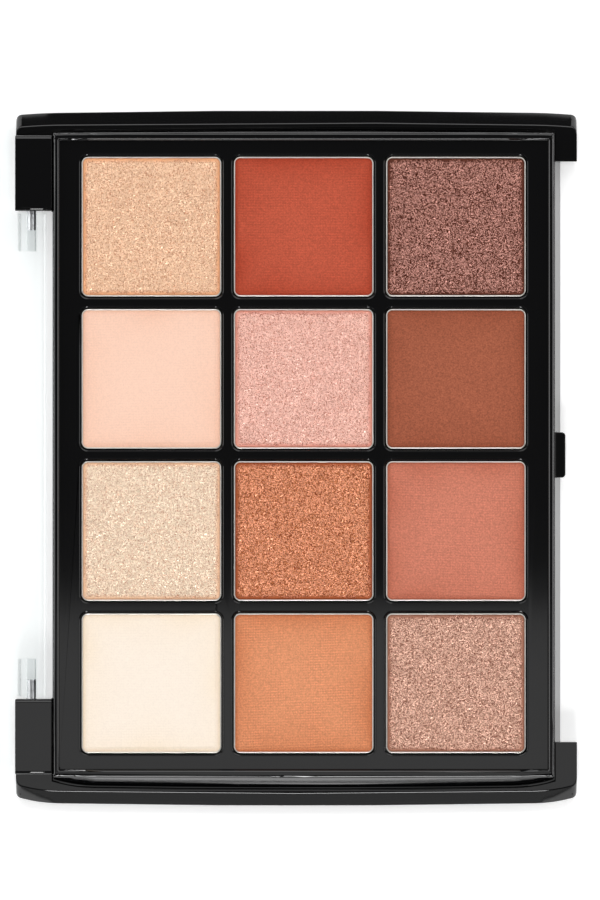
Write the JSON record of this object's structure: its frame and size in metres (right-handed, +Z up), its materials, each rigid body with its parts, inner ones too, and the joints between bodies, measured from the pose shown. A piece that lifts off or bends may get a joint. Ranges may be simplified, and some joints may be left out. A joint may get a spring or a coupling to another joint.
{
  "type": "eyeshadow palette",
  "caption": "Open eyeshadow palette: black base with bowed ends, a tray of square metal pans of pressed powder, and a clear hinged lid laid back flat.",
  "frame": {"origin": "on the flat bottom of the base, under the middle of the pan grid", "axes": "+X from the hinge side to the catch side, +Y along the rows to the far end, +Z up"},
  "size_m": [0.1723, 0.11, 0.0116],
  "materials": {
    "black_gloss_plastic": "gloss",
    "clear_plastic": "polished",
    "pin_steel": "satin",
    "hot_melt_glue": "satin",
    "pan_metal": "satin",
    "powder_gold": "satin",
    "powder_brick": "matte",
    "powder_mauve_brown": "satin",
    "powder_peach": "matte",
    "powder_pink": "satin",
    "powder_brown": "matte",
    "powder_champagne": "satin",
    "powder_copper": "satin",
    "powder_dusty_rose": "matte",
    "powder_cream": "matte",
    "powder_tan": "matte",
    "powder_rose_taupe": "satin"
  },
  "bodies": {
    "base": {"base_shell": "black_gloss_plastic", "pan_tray": "black_gloss_plastic", "pan_glue_dots": "hot_melt_glue", "hinge_pin_upper": "pin_steel", "hinge_pin_lower": "pin_steel", "pan_row_1_column_1": "pan_metal", "pan_row_1_column_2": "pan_metal", "pan_row_1_column_3": "pan_metal", "pan_row_2_column_1": "pan_metal", "pan_row_2_column_2": "pan_metal", "pan_row_2_column_3": "pan_metal", "pan_row_3_column_1": "pan_metal", "pan_row_3_column_2": "pan_metal", "pan_row_3_column_3": "pan_metal", "pan_row_4_column_1": "pan_metal", "pan_row_4_column_2": "pan_metal", "pan_row_4_column_3": "pan_metal", "powder_row_1_column_1": "powder_gold", "powder_row_1_column_2": "powder_brick", "powder_row_1_column_3": "powder_mauve_brown", "powder_row_2_column_1": "powder_peach", "powder_row_2_column_2": "powder_pink", "powder_row_2_column_3": "powder_brown", "powder_row_3_column_1": "powder_champagne", "powder_row_3_column_2": "powder_copper", "powder_row_3_column_3": "powder_dusty_rose", "powder_row_4_column_1": "powder_cream", "powder_row_4_column_2": "powder_tan", "powder_row_4_column_3": "powder_rose_taupe"},
    "lid": {"lid": "clear_plastic"}
  },
  "joints": [
    {"name": "lid_hinge", "type": "hinge", "parent": "base", "child": "lid", "pos_m": [-0.043, 0, 0.0062], "axis": [0, 1, 0], "range_deg": [0, 180]}
  ]
}
